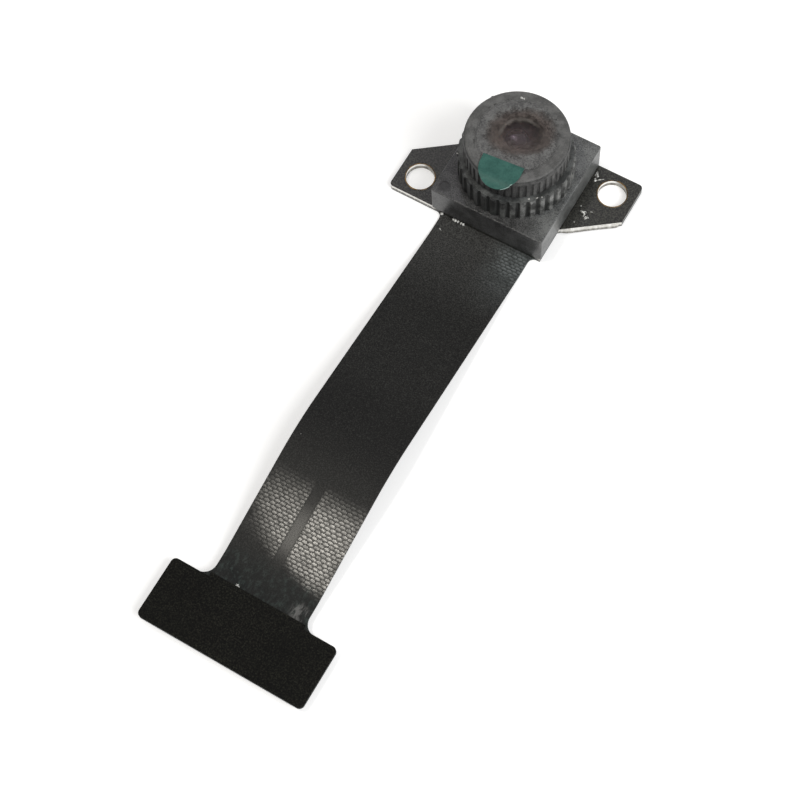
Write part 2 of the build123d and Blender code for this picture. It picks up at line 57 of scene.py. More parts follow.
# Node helpers: every pattern is worked out in millimetres on the object itself.
class Look:
    """A material under construction: a Principled shader and the nodes that feed it."""

    def __init__(self, name):
        self.material = bpy.data.materials.new(name)
        self.material.use_nodes = True
        self.tree = self.material.node_tree
        self.shader = self.tree.nodes["Principled BSDF"]
        self.place = None

    def node(self, kind, **settings):
        """A new node of this kind, with these settings."""
        made = self.tree.nodes.new(kind)
        for key, value in settings.items():
            setattr(made, key, value)
        return made

    def put(self, socket, value):
        """Links another node's output to this socket, or sets a plain value on it."""
        if isinstance(value, bpy.types.NodeSocket):
            self.tree.links.new(value, socket)
        else:
            socket.default_value = value

    def set(self, **values):
        """Fills inputs of the shader by name, with underscores for spaces."""
        for key, value in values.items():
            self.put(self.shader.inputs[key.replace("_", " ")], value)

    def position(self):
        """The point on the object, in millimetres."""
        if self.place is None:
            coords = self.node("ShaderNodeTexCoord").outputs["Object"]
            scale = self.node("ShaderNodeVectorMath", operation="SCALE")
            self.put(scale.inputs[0], coords)
            scale.inputs["Scale"].default_value = 1 / MM
            self.place = scale.outputs[0]
        return self.place

    def axes(self):
        """The three coordinates of the point on the object."""
        split = self.node("ShaderNodeSeparateXYZ")
        self.put(split.inputs[0], self.position())
        return split.outputs[0], split.outputs[1], split.outputs[2]

    def facing(self):
        """The surface direction on the object itself."""
        split = self.node("ShaderNodeSeparateXYZ")
        self.put(split.inputs[0], self.node("ShaderNodeTexCoord").outputs["Normal"])
        return split.outputs[0], split.outputs[1], split.outputs[2]

    def stretched(self, x, y, z):
        """The point scaled along each axis, for streaks: a small share makes them long."""
        made = self.node("ShaderNodeVectorMath", operation="MULTIPLY")
        self.put(made.inputs[0], self.position())
        made.inputs[1].default_value = (x, y, z)
        return made.outputs[0]

    def math(self, operation, a, b=0.0, c=0.0):
        """One arithmetic step on values or on other nodes' outputs."""
        made = self.node("ShaderNodeMath", operation=operation)
        for socket, value in zip(made.inputs, (a, b, c)):
            self.put(socket, value)
        return made.outputs[0]

    def product(self, first, *others):
        """All these values multiplied together."""
        for other in others:
            first = self.math("MULTIPLY", first, other)
        return first

    def away(self, value, centre):
        """Distance of value from centre, whichever side it is on."""
        return self.math("ABSOLUTE", self.math("SUBTRACT", value, centre))

    def length(self, x, y):
        """Length of the flat vector x, y."""
        square = self.math("MULTIPLY_ADD", x, x, self.math("MULTIPLY", y, y))
        return self.math("SQRT", square)

    def noise(self, scale, detail=3.0, roughness=0.55, vector=None):
        """Cloudy noise from 0 to 1 with this many cells to the millimetre."""
        made = self.node("ShaderNodeTexNoise")
        self.put(made.inputs["Vector"], vector or self.position())
        made.inputs["Scale"].default_value = scale
        made.inputs["Detail"].default_value = detail
        made.inputs["Roughness"].default_value = roughness
        return made.outputs["Fac"]

    def cells(self, scale):
        """Distance to the nearest of scattered points, this many to the millimetre."""
        made = self.node("ShaderNodeTexVoronoi")
        self.put(made.inputs["Vector"], self.position())
        made.inputs["Scale"].default_value = scale
        return made.outputs["Distance"]

    def span(self, value, low, high, to_low=0.0, to_high=1.0, smooth=True):
        """value from low to high becomes to_low to to_high, and stays there outside."""
        made = self.node("ShaderNodeMapRange")
        made.interpolation_type = "SMOOTHSTEP" if smooth else "LINEAR"
        for socket, number in zip(made.inputs, (value, low, high, to_low, to_high)):
            self.put(socket, number)
        return made.outputs[0]

    def tone(self, grain, cloud, share, low=0.38, high=0.62):
        """Fine grain mixed with cloud, share of it grain, and drawn out to 0 to 1."""
        mixed = self.math("MULTIPLY_ADD", grain, share, self.math("MULTIPLY", cloud, 1 - share))
        return self.span(mixed, low, high)

    def blend(self, share, a, b):
        """Colour a turning into colour b as share goes from 0 to 1."""
        made = self.node("ShaderNodeMix", data_type="RGBA")
        self.put(made.inputs[0], share)
        self.put(made.inputs[6], a)
        self.put(made.inputs[7], b)
        return made.outputs[2]

    def bump(self, height, depth, strength=1.0, under=None):
        """Relief of depth millimetres, over an earlier relief if there is one."""
        made = self.node("ShaderNodeBump")
        made.inputs["Strength"].default_value = strength
        made.inputs["Distance"].default_value = depth * MM
        self.put(made.inputs["Height"], height)
        if under is not None:
            self.put(made.inputs["Normal"], under)
        return made.outputs[0]

    def uneven(self, pattern, swing, least):
        """Roughness that follows the pattern, from least to least plus swing."""
        self.set(Roughness=self.math("MULTIPLY_ADD", pattern, swing, least))


def rgb(red, green, blue):
    """A colour written as it is seen, 0 to 255, for the shader."""
    def linear(v):
        v = v / 255
        return v / 12.92 if v <= 0.04045 else ((v + 0.055) / 1.055) ** 2.4
    return (linear(red), linear(green), linear(blue), 1.0)


def shaded(colour, share):
    """The same colour, this share as bright."""
    return rgb(*(channel * share for channel in colour))


def offset(look, x, y, centre):
    """x and y measured from this centre."""
    return look.math("SUBTRACT", x, centre[0]), look.math("SUBTRACT", y, centre[1])


def dress(name, material):
    """Gives a CAD node this material in all its slots."""
    data = nodes[name].data
    if not data.materials:
        data.materials.append(material)
    for index in range(len(data.materials)):
        data.materials[index] = material


# Flexible tail: black coverlay over a copper hatch, with a plain strip along it.
HATCH_X = 0.42
HATCH_Y = 0.47
SCALE_HALF_X = 0.2
SCALE_HALF_Y = 0.118


def hatch_scales(look, x, y):
    """Staggered oval scales: their height, and their gloss with a dull lower rim, 0 to 1."""
    wander = look.math("MULTIPLY_ADD", look.noise(0.8, 2.0), 0.14, -0.07)
    across = look.math("MULTIPLY", look.math("ADD", x, wander), 1 / HATCH_X)
    along = look.math("MULTIPLY", look.math("ADD", y, wander), 1 / HATCH_Y)
    height = 0.0
    gloss = 0.0
    for shift in (0.0, 0.5):
        aside = look.math("SUBTRACT", look.math("FRACT", look.math("ADD", across, shift)), 0.5)
        ahead = look.math("SUBTRACT", look.math("FRACT", look.math("ADD", along, shift)), 0.5)
        aside = look.math("MULTIPLY", aside, HATCH_X / SCALE_HALF_X)
        ahead = look.math("MULTIPLY", ahead, HATCH_Y / SCALE_HALF_Y)
        square = look.math("MULTIPLY_ADD", aside, aside, look.math("MULTIPLY", ahead, ahead))
        hump = look.span(square, 1.25, 0.4)
        height = look.math("MAXIMUM", height, hump)
        lit = look.math("MULTIPLY", hump, look.span(ahead, -0.9, 0.3, 0.12, 1.0))
        gloss = look.math("MAXIMUM", gloss, lit)
    return height, gloss


def hatch_zone(look, x, y):
    """Where the hatch shows: beside the plain strip, and above the smooth foot of the tail."""
    beside = look.span(look.away(x, STRIP_X), STRIP_HALF - 0.06, STRIP_HALF + 0.06)
    worn = look.math("MULTIPLY_ADD", look.noise(1.0, 3.0, 0.6), 1.5, -0.75)
    rim = look.span(look.math("ADD", look.away(x, 2 * STRIP_X), worn), 3.75, 3.1)
    ragged = look.math("MULTIPLY_ADD", look.noise(0.9, 3.0, 0.6), 2.6, -1.3)
    foot = look.math("ADD", look.math("MULTIPLY_ADD", x, 0.24, y), ragged)
    tail = look.span(foot, -31.7, -30.8)
    corner = look.math("MULTIPLY_ADD", look.math("ADD", y, 29.5), 0.9, look.math("ADD", x, 3.2))
    tail = look.math("MULTIPLY", tail, look.span(corner, 0.1, 1.9, 0.2, 1.0))
    return look.product(beside, rim, tail)


def root_zone(look, x, y):
    """Where the hatch shows faintly beside the module, at the right of the tail's root."""
    patches = look.span(look.noise(1.1, 3.0, 0.6), 0.36, 0.62, 0.25, 1.0)
    along = look.math("MULTIPLY", look.span(y, -8.6, -5.4), look.span(x, 0.4, 2.6))
    return look.math("MULTIPLY", along, patches)


def flex_colour(look, x, y, grain, painted_glints):
    """Fine black grain, bluish foot, paler root; painted shade on the crest, painted glints at the root.
    """
    colour = look.blend(look.span(grain, 0.42, 0.66), rgb(6, 6, 5), rgb(46, 46, 44))
    # Painted shade: the crest is drawn darker, towards black.
    crest = look.span(look.away(y, CREST_Y), 4.5, 1.5, 0.0, 0.5)
    dark = look.blend(look.span(grain, 0.5, 0.64), rgb(0, 0, 0), rgb(34, 34, 32))
    colour = look.blend(crest, colour, dark)
    cloud = look.span(look.noise(0.9, 4.0, 0.6), 0.42, 0.62, 0.6, 1.0)
    foot = look.span(y, -31.0, -32.5)
    streaks = look.noise(3.4, 5.0, 0.75, look.stretched(1.0, 0.6, 1.0))
    bluish = look.blend(look.span(streaks, 0.46, 0.68), rgb(0, 4, 4), rgb(44, 54, 51))
    colour = look.blend(look.math("MULTIPLY", foot, cloud), colour, bluish)
    speckle = look.span(grain, 0.35, 0.7)
    near = look.span(y, -12.0, -4.5, 0.0, 0.8)
    colour = look.blend(near, colour, look.blend(speckle, rgb(34, 34, 33), rgb(84, 84, 82)))
    right = look.math("MULTIPLY", look.span(y, -10.5, -5.0), look.span(x, 0.0, 3.0, 0.0, 0.7))
    colour = look.blend(right, colour, look.blend(speckle, rgb(40, 44, 44), rgb(86, 91, 91)))
    # Painted glints: the scale tops at the right of the root are drawn pale.
    colour = look.blend(look.math("MULTIPLY", painted_glints, 0.34), colour, rgb(150, 156, 156))
    return dusty_patch(look, x, y, grain, colour)


def dusty_patch(look, x, y, grain, under):
    """A streaky patch of dust at the foot of the tail."""
    reach = look.length(*offset(look, x, y, DUST_SPOT))
    streak = look.noise(3.0, 4.0, 0.65, look.stretched(1.6, 0.5, 1.0))
    there = look.math("MULTIPLY", look.span(reach, 0.85, 0.25), look.span(streak, 0.38, 0.62))
    dust = look.blend(grain, rgb(78, 78, 76), rgb(112, 112, 110))
    return look.blend(look.math("MULTIPLY", there, 0.95), under, dust)


def flex_shine(look, x, y, gloss, lumps, zone, bend):
    """Gloss where the bend faces the light: the scales' tops, and faintly the plain strip."""
    tops = look.math("MULTIPLY", gloss, look.span(lumps, 0.36, 0.6, 0.5, 1.0))
    tops = look.span(tops, 0.0, 1.0, 0.12, 1.0, smooth=False)
    tops = look.math("MULTIPLY", tops, look.span(x, -3.2, 1.6, 0.62, 1.0))
    strip = look.span(look.away(x, STRIP_X), STRIP_HALF + 0.04, STRIP_HALF - 0.14, 0.0, 0.21)
    middle = look.span(look.away(y, GLEAM_Y), 2.4, 0.4, 0.3, 1.0)
    shine = look.math("MULTIPLY_ADD", tops, zone, look.math("MULTIPLY", strip, middle))
    foot_dull = look.span(look.math("MULTIPLY_ADD", x, 0.26, y), -32.0, -29.8)
    return look.product(shine, bend, foot_dull)


def flex_look():
    """Black coverlay: finely speckled, hatched where it is bent towards the light."""
    look = Look("black_coverlay")
    x, y, _ = look.axes()
    height, gloss = hatch_scales(look, x, y)
    zone = hatch_zone(look, x, y)
    root = root_zone(look, x, y)
    bend = look.span(y, -25.4, -28.0)
    bold = look.math("MAXIMUM", look.span(bend, 0.0, 1.0, 0.25, 1.0), root)
    lumps = look.noise(2.2, 3.0, 0.6)
    grain = look.noise(12.0, 4.0, 0.7)
    relief = look.product(height, bold, look.math("MAXIMUM", zone, root))
    relief = look.bump(relief, 0.001)
    relief = look.bump(lumps, 0.003, 0.4, relief)
    fine = look.bump(grain, 0.002, 0.5, relief)
    # Painted glints: the glossy scale tops at the root, passed on to the colour.
    painted_glints = look.math("MULTIPLY", gloss, root)
    colour = flex_colour(look, x, y, grain, painted_glints)
    shine = flex_shine(look, x, y, gloss, lumps, zone, bend)
    look.set(Base_Color=colour, Normal=fine, Coat_Normal=relief)
    look.uneven(grain, 0.2, 0.42)
    look.set(Specular_IOR_Level=0.25)
    look.set(Coat_Weight=shine, Coat_Roughness=0.24, Coat_Tint=(0.96, 1.0, 0.93, 1.0))
    return look.material


# Board: glossy black mask on top, bright sheared metal at the near sides of its ears.
def board_steel(look, x, z, ny):
    """Sheared metal, with a dotted dark core at the left ear; sides that face away get painted shade."""
    # Painted shade: sides that face away from the front are drawn dull grey instead of bright metal.
    near = look.span(ny, -0.3, -0.6)
    drawn = look.noise(5.0, 3.0, 0.6, look.stretched(1.0, 1.0, 0.15))
    steel = look.blend(look.span(z, 0.24, 0.3), rgb(176, 174, 168), rgb(240, 238, 232))
    steel = look.blend(look.span(drawn, 0.4, 0.75, 0.0, 0.35), steel, rgb(120, 116, 110))
    dots = look.span(look.noise(7.0, 2.0, 0.6, look.stretched(1.0, 1.0, 0.2)), 0.42, 0.5)
    core = look.span(look.away(z, 0.235), 0.075, 0.045)
    core = look.math("MULTIPLY", core, look.math("MULTIPLY", dots, look.span(x, 0.5, -0.5)))
    steel = look.blend(core, steel, rgb(26, 26, 24))
    return near, look.blend(near, rgb(74, 72, 68), steel)


def board_look():
    """Glossy mask on top and metal at the sides of the ears."""
    look = Look("board_mask_and_edge")
    x, _, z = look.axes()
    _, ny, nz = look.facing()
    side = look.span(look.math("ABSOLUTE", nz), 0.75, 0.55)
    ear = look.span(look.math("ABSOLUTE", x), EAR_ROOT_X - 0.15, EAR_ROOT_X + 0.15)
    side = look.math("MULTIPLY", side, ear)
    near, steel = board_steel(look, x, z, ny)
    grain = look.noise(8.0, 5.0, 0.75)
    mask = look.blend(look.span(grain, 0.4, 0.64), rgb(6, 6, 4), rgb(66, 66, 60))
    relief = look.bump(look.noise(1.1, 2.0, 0.5), 0.012, 0.35)
    relief = look.bump(grain, 0.006, 0.5, relief)
    look.set(Base_Color=look.blend(side, mask, steel), Normal=relief)
    look.uneven(grain, 0.16, 0.26)
    look.set(Metallic=look.product(side, near, 0.4))
    return look.material


def sleeve_look():
    """Plated ear-hole sleeve: dull wall, thin browned gold rim, and a painted highlight high on one
    side.
    """
    look = Look("ear_sleeve")
    _, _, z = look.axes()
    nx, _, nz = look.facing()
    cloud = look.noise(2.4, 3.0, 0.6)
    drawn = look.noise(8.0, 3.0, 0.6, look.stretched(1.0, 1.0, 0.2))
    wall = look.blend(look.span(cloud, 0.3, 0.7), rgb(104, 101, 95), rgb(166, 163, 156))
    # Painted highlight: a near-white crescent high on the wall that faces +X.
    painted_crescent = look.math("MULTIPLY", look.span(z, 0.28, 0.36), look.span(nx, -0.1, 0.4))
    wall = look.blend(painted_crescent, wall, rgb(246, 245, 242))
    rim = look.blend(look.span(cloud, 0.35, 0.65), rgb(58, 50, 38), rgb(150, 120, 72))
    colour = look.blend(look.span(nz, 0.4, 0.7), wall, rim)
    look.set(Base_Color=colour, Normal=look.bump(drawn, 0.008, 0.5), Metallic=1.0)
    look.uneven(drawn, 0.2, 0.3)
    return look.material


# Black plastics: the plain moulded family, the end plate, the knurled pieces and the holder.
def moulded_look(name, dark, light, rough):
    """Moulded black plastic: cloudy, finely speckled and slightly pitted."""
    look = Look(name)
    cloud = look.noise(0.9, 4.0, 0.62)
    grain = look.noise(11.0, 4.0, 0.7)
    colour = look.blend(look.tone(grain, cloud, 0.6), rgb(*dark), rgb(*light))
    relief = look.bump(cloud, 0.012, 0.3)
    relief = look.bump(look.cells(6.6), 0.006, 0.3, relief)
    relief = look.bump(grain, 0.006, 0.5, relief)
    look.set(Base_Color=colour, Normal=relief)
    look.uneven(grain, 0.22, rough - 0.11)
    return look.material


def stiffener_look():
    """Dull black plate with a fine even grain and a faint painted highlight along its sloped rim."""
    look = Look("stiffener")
    _, _, nz = look.facing()
    grain = look.noise(9.0, 5.0, 0.85)
    cloud = look.noise(0.5, 3.0, 0.6)
    tone = look.tone(grain, cloud, 0.92, 0.46, 0.66)
    colour = look.blend(tone, rgb(0, 0, 0), rgb(40, 40, 33))
    # Painted highlight: the sloped faces of the rim are drawn paler.
    painted_edge_highlight = look.math("MULTIPLY", look.span(nz, 0.97, 0.8), look.span(nz, 0.2, 0.45))
    colour = look.blend(look.math("MULTIPLY", painted_edge_highlight, 0.8), colour, rgb(70, 70, 66))
    look.set(Base_Color=colour, Normal=look.bump(grain, 0.012, 0.7), Specular_IOR_Level=0.13)
    look.uneven(grain, 0.22, 0.55)
    return look.material


def ribbed_look(name, top, side, crest, tip, scale, patch, rough, shade):
    """Knurled plastic: dark grooves, a painted highlight on crests, dust and painted light on upper
    faces.

    tip is the radius of the crests, scale and patch are the cells of grain and cloud to the
    millimetre, and shade is how much of the paler top the upper faces keep in their dark clouds.
    """
    look = Look(name)
    x, y, _ = look.axes()
    _, _, nz = look.facing()
    cloud = look.noise(patch, 4.0, 0.62)
    grain = look.noise(scale, 4.0, 0.7)
    tone = look.tone(grain, cloud, 0.6)
    colour = look.blend(tone, shaded(side, 0.36), rgb(*side))
    # Painted highlight: rib crests are drawn paler towards the right, where the light comes from.
    right = look.span(look.math("MULTIPLY_ADD", y, -0.2, x), 0.9, 3.5, 0.1, 1.0)
    worn = look.span(look.length(x, y), tip - 0.16, tip - 0.02)
    patches = look.span(look.noise(1.7, 4.0, 0.65), 0.4, 0.6, 0.2, 1.0)
    worn = look.product(worn, patches, right)
    colour = look.blend(worn, colour, look.blend(tone, shaded(crest, 0.72), rgb(*crest)))
    # Upper faces drawn paler: dust in cloudy patches, and painted light on every face that looks up.
    dust_and_painted_light = look.math("MULTIPLY", look.span(nz, 0.6, 0.9), look.span(cloud, 0.35, 0.6, shade, 1.0))
    colour = look.blend(dust_and_painted_light, colour, look.blend(tone, shaded(top, 0.76), rgb(*top)))
    relief = look.bump(cloud, 0.014, 0.3)
    relief = look.bump(grain, 0.007, 0.5, relief)
    look.set(Base_Color=colour, Normal=relief, Specular_IOR_Level=0.35)
    look.uneven(grain, 0.22, rough - 0.11)
    return look.material


def holder_look():
    """Moulded holder: matt black plastic, with painted light in cloudy patches towards its right side.
    """
    look = Look("moulded_holder")
    x, y, _ = look.axes()
    _, ny, _ = look.facing()
    cloud = look.noise(0.9, 4.0, 0.62)
    grain = look.noise(11.0, 4.0, 0.7)
    tone = look.tone(grain, cloud, 0.65)
    colour = look.blend(tone, rgb(22, 22, 22), rgb(84, 84, 84))
    # Painted light: cloudy patches towards the right side, less on front faces, are drawn in a paler
    # colour.
    lean = look.math("MULTIPLY_ADD", y, 0.7, x)
    painted_light_share = look.math("MULTIPLY_ADD", look.noise(0.7, 3.0, 0.6), 2.4, look.math("ADD", lean, -1.2))
    painted_light_share = look.span(painted_light_share, -0.6, 2.4, 0.0, 0.9)
    painted_light_share = look.math("MULTIPLY", painted_light_share, look.span(ny, -0.3, -0.7, 1.0, 0.3))
    dust = look.blend(tone, rgb(56, 57, 57), rgb(118, 120, 119))
    colour = look.blend(painted_light_share, colour, dust)
    reach = look.length(*offset(look, x, y, EJECTOR_MARK))
    stain = look.math("MULTIPLY_ADD", look.noise(3.0, 3.0, 0.6), 0.4, reach)
    stain = look.span(stain, 0.72, 0.5, 0.0, 0.7)
    colour = look.blend(stain, colour, rgb(30, 30, 30))
    relief = look.bump(cloud, 0.012, 0.3)
    relief = look.bump(look.cells(6.6), 0.006, 0.3, relief)
    relief = look.bump(grain, 0.006, 0.5, relief)
    look.set(Base_Color=colour, Normal=relief)
    look.uneven(grain, 0.22, 0.25)
    return look.material


# Blackened rings and stop between the lenses, seen only through glass.
def baffle_look(name, dark, light):
    """Matt ring with a faint cloud and grain."""
    look = Look(name)
    cloud = look.noise(2.5, 3.0, 0.6)
    grain = look.noise(7.0, 3.0, 0.6)
    colour = look.blend(look.span(cloud, 0.35, 0.65), rgb(*dark), rgb(*light))
    look.set(Base_Color=colour, Normal=look.bump(grain, 0.002, 0.4), Specular_IOR_Level=0.2)
    look.uneven(grain, 0.2, 0.55)
    return look.material


def front_baffle_look():
    """Front spacer: brown, with a painted highlight on the far side of the turned cone of its hole."""
    look = Look("front_baffle")
    x, y, _ = look.axes()
    cloud = look.noise(2.5, 3.0, 0.6)
    grain = look.noise(7.0, 3.0, 0.6)
    colour = look.blend(look.span(cloud, 0.35, 0.65), rgb(92, 82, 78), rgb(120, 108, 102))
    cone = look.span(look.length(x, y), SPACER_HOLE_RADIUS + 0.06, SPACER_HOLE_RADIUS - 0.04)
    # Painted highlight: the cone is drawn paler on its far side, where the light falls on it.
    far = look.math("MULTIPLY_ADD", x, -0.5, look.math("MULTIPLY", y, 0.85))
    shine = look.math("MULTIPLY", cone, look.span(look.span(far, -0.6, 0.4), 0.0, 1.0, 0.1, 0.6))
    colour = look.blend(shine, colour, rgb(128, 118, 114))
    look.set(Base_Color=colour, Normal=look.bump(grain, 0.002, 0.4), Specular_IOR_Level=0.25)
    look.uneven(grain, 0.2, 0.5)
    return look.material


# Metals, die and capacitors.
def metal_look(name, dark, light, rough):
    """Plated or tinned metal, clouded and slightly uneven."""
    look = Look(name)
    cloud = look.noise(2.7, 3.0, 0.6)
    grain = look.noise(9.0, 4.0, 0.6)
    colour = look.blend(look.span(cloud, 0.3, 0.7), rgb(*dark), rgb(*light))
    relief = look.bump(cloud, 0.02, 0.5)
    relief = look.bump(grain, 0.006, 0.5, relief)
    look.set(Base_Color=colour, Normal=relief, Metallic=1.0)
    look.uneven(grain, 0.25, rough - 0.12)
    return look.material


def die_look():
    """Silicon die: fine pixel grid with a colour gleam."""
    look = Look("sensor_die")
    x, y, _ = look.axes()
    cell = look.math("PINGPONG", look.math("MULTIPLY", x, 12.0), 0.5)
    row = look.math("PINGPONG", look.math("MULTIPLY", y, 12.0), 0.5)
    grid = look.math("MULTIPLY", cell, row)
    hue = look.noise(0.6, 2.0, 0.5)
    colour = look.blend(hue, rgb(52, 40, 70), rgb(40, 66, 60))
    colour = look.blend(look.span(grid, 0.0, 0.25), rgb(16, 16, 20), colour)
    look.set(Base_Color=colour, Metallic=0.7, Normal=look.bump(grid, 0.004, 0.5))
    look.uneven(hue, 0.1, 0.18)
    return look.material


def capacitor_look():
    """Tan ceramic bodies."""
    look = Look("chip_capacitor")
    grain = look.noise(12.0, 3.0, 0.6)
    colour = look.blend(grain, rgb(120, 92, 62), rgb(168, 136, 98))
    look.set(Base_Color=colour, Normal=look.bump(grain, 0.01, 0.5))
    look.uneven(grain, 0.2, 0.4)
    return look.material


# Glasses, the protective film and its tab.
def glass_look(name, tint, gloss=0.03, coating=(1.0, 1.0, 1.0), level=0.5):
    """Clear lens or filter glass, with the tint of its coating in what it reflects."""
    look = Look(name)
    cloud = look.noise(1.2, 3.0, 0.6)
    shade = tuple(0.93 * channel for channel in rgb(*tint)[:3]) + (1.0,)
    colour = look.blend(cloud, rgb(*tint), shade)
    look.set(Base_Color=colour, Normal=look.bump(cloud, 0.001, 0.3))
    look.uneven(cloud, 0.03, gloss)
    look.set(Transmission_Weight=1.0, IOR=1.55, Specular_IOR_Level=level)
    look.set(Specular_Tint=coating + (1.0,))
    return look.material


def front_glass_look():
    """Front lens: hazed by the film's glue, with a clear spot on its crown."""
    look = Look("front_glass")
    x, y, _ = look.axes()
    cloud = look.noise(2.2, 4.0, 0.65)
    reach = look.math("MULTIPLY_ADD", cloud, 0.3, look.length(x, y))
    rough = look.span(reach, 0.55, 1.1, 0.13, 0.34)
    colour = look.blend(look.span(cloud, 0.35, 0.65), rgb(206, 192, 184), rgb(230, 218, 212))
    look.set(Base_Color=colour, Roughness=rough, Normal=look.bump(cloud, 0.001, 0.4))
    look.set(Transmission_Weight=1.0, IOR=1.6, Specular_IOR_Level=0.16)
    look.set(Specular_Tint=(1.0, 0.86, 0.94, 1.0))
    return look.material


WINDOW_CENTRE = (0.13, 0.37)
WINDOW_HALF = (2.25, 1.75)
WINDOW_TURN = math.radians(30.4)
HIGHLIGHT_ARC_CENTRE = (0.26, 0.01)
HIGHLIGHT_ARC_RADIUS = 1.36
FILM_FADE_FROM = 2.5
FILM_FADE_TO = 2.85


def window_reach(look, x, y):
    """Distance from the window's middle: 0 there, about 1 at its ragged oval border."""
    dx, dy = offset(look, x, y, WINDOW_CENTRE)
    cosine = math.cos(WINDOW_TURN)
    sine = math.sin(WINDOW_TURN)
    along = look.math("MULTIPLY_ADD", dx, cosine, look.math("MULTIPLY", dy, sine))
    across = look.math("MULTIPLY_ADD", dx, -sine, look.math("MULTIPLY", dy, cosine))
    along = look.math("MULTIPLY", along, 1 / WINDOW_HALF[0])
    across = look.math("MULTIPLY", across, 1 / WINDOW_HALF[1])
    reach = look.length(along, across)
    ragged = look.noise(2.6, 4.0, 0.7)
    return look.math("MULTIPLY_ADD", ragged, 0.5, look.math("SUBTRACT", reach, 0.25))


def painted_arc_highlight(look, x, y):
    """A painted highlight: a pale arc over the crown of the lens, strongest at its upper left."""
    dx, dy = offset(look, x, y, HIGHLIGHT_ARC_CENTRE)
    reach = look.length(dx, dy)
    ring = look.span(look.away(reach, HIGHLIGHT_ARC_RADIUS), 0.22, 0.02)
    lean = look.math("DIVIDE", look.math("SUBTRACT", dy, dx), look.math("MULTIPLY", reach, math.sqrt(2)))
    cloud = look.span(look.noise(2.1, 3.0, 0.6), 0.3, 0.6, 0.6, 1.0)
    return look.product(ring, look.span(lean, 0.1, 0.8), cloud)


def film_look():
    """Protective film: milky where glued, clear in a ragged window, with painted reflection and
    highlights.
    """
    look = Look("clear_film")
    x, y, _ = look.axes()
    reach = window_reach(look, x, y)
    cloud = look.noise(1.3, 4.0, 0.62)
    grain = look.noise(9.0, 5.0, 0.75)
    tone = look.tone(grain, cloud, 0.7, 0.4, 0.6)
    rim = look.span(look.length(x, y), FILM_FADE_FROM, FILM_FADE_TO, 1.0, 0.0)
    milky = look.blend(tone, rgb(66, 66, 66), rgb(112, 112, 111))
    # Painted light: towards the rim the milky colour is drawn paler, undoing the shade of the fading
    # film.
    milky_painted_light = look.blend(tone, rgb(92, 92, 92), rgb(154, 154, 153))
    milky = look.blend(rim, milky_painted_light, milky)
    # Painted reflection: the lens coating's brown reflection, drawn as a brown haze inside the window.
    brown = look.blend(tone, rgb(40, 34, 31), rgb(112, 102, 97))
    colour = look.blend(look.span(reach, 0.8, 1.15), brown, milky)
    # Painted highlight: a pale arc over the crown of the lens.
    arc_highlight = painted_arc_highlight(look, x, y)
    colour = look.blend(arc_highlight, colour, rgb(122, 116, 111))
    relief = look.bump(cloud, 0.01, 0.3)
    relief = look.bump(grain, 0.004, 0.5, relief)
    look.set(Base_Color=colour, Normal=relief)
    look.uneven(grain, 0.2, 0.42)
    clear = look.span(reach, 0.38, 0.85, 0.03, 0.5)
    glued = look.span(reach, 0.9, 1.2, 0.0, 0.42)
    shown = look.math("ADD", look.math("ADD", clear, glued), look.math("MULTIPLY", arc_highlight, 0.08))
    look.set(Alpha=look.math("MULTIPLY", shown, rim))
    return look.material


def tab_look():
    """Green tab: slightly cloudy plastic sheet with a soft waviness."""
    look = Look("green_tab")
    cloud = look.noise(1.4, 4.0, 0.65)
    grain = look.noise(8.0, 4.0, 0.7)
    colour = look.blend(look.tone(grain, cloud, 0.4, 0.35, 0.65), rgb(28, 74, 67), rgb(52, 98, 89))
    relief = look.bump(cloud, 0.015, 0.5)
    relief = look.bump(grain, 0.006, 0.5, relief)
    look.set(Base_Color=colour, Normal=relief, Specular_IOR_Level=0.36)
    look.uneven(grain, 0.25, 0.36)
    return look.material


def dress_metals():
    """Metals, the sensor die and the capacitors."""
    tin = metal_look("bright_tin", (150, 150, 148), (226, 224, 220), 0.3)
    dress("solder_joints", tin)
    dress("connector_anchors", tin)
    dress("test_pads", metal_look("dull_pad", (40, 40, 38), (120, 118, 114), 0.4))
    dress("connector_contacts", metal_look("gold_plate", (176, 132, 62), (226, 184, 104), 0.28))
    dress("ear_hole_plating", sleeve_look())
    dress("image_sensor", die_look())
    dress("capacitors", capacitor_look())


def dress_plastics():
    """The ribbon and board, and everything moulded or blackened."""
    dress("flex_ribbon", flex_look())
    dress("mounting_board", board_look())
    dress("lens_holder", holder_look())
    dress("end_stiffener", stiffener_look())
    dress("holder_glue", moulded_look("black_glue", (14, 14, 14), (30, 29, 28), 0.3))
    dress("connector_housing", moulded_look("connector_plastic", (18, 18, 18), (40, 39, 38), 0.45))
    ring = ribbed_look(
        "moulded_ring", top=(104, 106, 105), side=(38, 40, 39), crest=(138, 139, 137),
        tip=RING_RADIUS, scale=12.0, patch=0.9, rough=0.42, shade=0.45,
    )
    dress("lock_ring", ring)
    barrel = ribbed_look(
        "moulded_barrel", top=(102, 102, 101), side=(48, 48, 48), crest=(90, 90, 89),
        tip=HEAD_RADIUS, scale=13.0, patch=1.4, rough=0.5, shade=0.8,
    )
    dress("lens_barrel", barrel)
    dress("front_spacer", front_baffle_look())
    dress("aperture_stop", baffle_look("stop_disc", (56, 46, 44), (76, 64, 60)))
    dress("rear_spacer", baffle_look("rear_baffle", (14, 10, 11), (26, 20, 22)))


